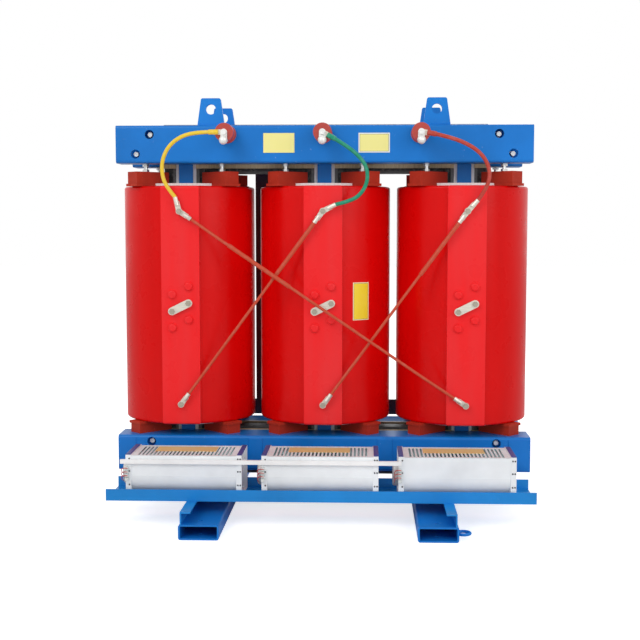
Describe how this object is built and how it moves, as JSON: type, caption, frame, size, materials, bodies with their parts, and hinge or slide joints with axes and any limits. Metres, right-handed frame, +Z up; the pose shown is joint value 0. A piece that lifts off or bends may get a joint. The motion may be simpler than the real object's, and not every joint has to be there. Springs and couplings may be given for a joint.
{
  "type": "dry type transformer",
  "caption": "Three-phase dry type power transformer with cast resin coils on a stacked core, box clamps, skid base and cooling fans.",
  "frame": {"origin": "on the floor, under the middle of the row of coils", "axes": "+X along the row of coils, -Y towards the high voltage side with the fans, +Z up"},
  "size_m": [1.2978, 1.176, 1.2725],
  "materials": {
    "blue_paint": "semi-gloss blue enamel",
    "coil_resin": "glossy red cast resin",
    "block_resin": "matt brick red moulded resin",
    "core_steel": "dark varnished laminations",
    "lv_resin": "varnished foil winding",
    "pale_board": "pale glass laminate",
    "press_board": "pressboard",
    "bright_steel": "zinc plated",
    "tinned_copper": "tinned",
    "link_sleeve": "brown-red insulation sleeve",
    "yellow_lead": "yellow silicone cable",
    "green_lead": "green silicone cable",
    "red_lead": "red silicone cable",
    "fan_sheet": "white powder coat",
    "fan_grille": "white powder coat",
    "motor_case": "dark cast end cap",
    "rotor_alloy": "satin aluminium",
    "busbar_alloy": "satin aluminium"
  },
  "bodies": {
    "transformer": {"core_limb_a": "core_steel", "lv_coil_a": "lv_resin", "hv_coil_a": "coil_resin", "post_insulator_a": "block_resin", "delta_link_a": "link_sleeve", "lv_busbar_a": "busbar_alloy", "core_limb_b": "core_steel", "lv_coil_b": "lv_resin", "hv_coil_b": "coil_resin", "post_insulator_b": "block_resin", "delta_link_b": "link_sleeve", "lv_busbar_b": "busbar_alloy", "core_limb_c": "core_steel", "lv_coil_c": "lv_resin", "hv_coil_c": "coil_resin", "post_insulator_c": "block_resin", "delta_link_c": "link_sleeve", "lv_busbar_c": "busbar_alloy", "phase_lead_a": "yellow_lead", "phase_lead_b": "green_lead", "phase_lead_c": "red_lead", "lower_yoke": "core_steel", "upper_yoke": "core_steel", "tie_plates": "blue_paint", "lifting_lugs": "blue_paint", "core_feet": "blue_paint", "skid_left": "blue_paint", "skid_right": "blue_paint", "fan_rails": "blue_paint", "fan_arms": "blue_paint", "upper_clamp_front": "blue_paint", "upper_clamp_rear": "blue_paint", "lower_clamp_front": "blue_paint", "lower_clamp_rear": "blue_paint", "tie_plate_strips": "pale_board", "barriers": "pale_board", "wiring_duct": "pale_board", "yoke_boards": "press_board", "top_blocks": "block_resin", "bottom_blocks": "block_resin", "lv_insulators": "block_resin", "jack_bolts": "bright_steel", "tie_rods": "bright_steel", "terminal_bolts": "bright_steel", "earthing_balls": "tinned_copper", "lead_lugs": "tinned_copper", "tap_links": "tinned_copper", "neutral_bar": "busbar_alloy", "fan_casing_1": "fan_sheet", "fan_motor_1": "motor_case", "fan_casing_2": "fan_sheet", "fan_motor_2": "motor_case", "fan_casing_3": "fan_sheet", "fan_motor_3": "motor_case", "fan_grilles": "fan_grille", "fan_end_plates": "fan_sheet"},
    "rotor_1": {"fan_rotor_1": "rotor_alloy"},
    "rotor_2": {"fan_rotor_2": "rotor_alloy"},
    "rotor_3": {"fan_rotor_3": "rotor_alloy"}
  },
  "joints": [
    {"name": "rotor_1_spin", "type": "hinge", "parent": "transformer", "child": "rotor_1", "pos_m": [-0.398, -0.384, 0.152], "axis": [1, 0, 0], "continuous": true},
    {"name": "rotor_2_spin", "type": "hinge", "parent": "transformer", "child": "rotor_2", "pos_m": [0, -0.384, 0.152], "axis": [1, 0, 0], "continuous": true},
    {"name": "rotor_3_spin", "type": "hinge", "parent": "transformer", "child": "rotor_3", "pos_m": [0.398, -0.384, 0.152], "axis": [1, 0, 0], "continuous": true}
  ]
}
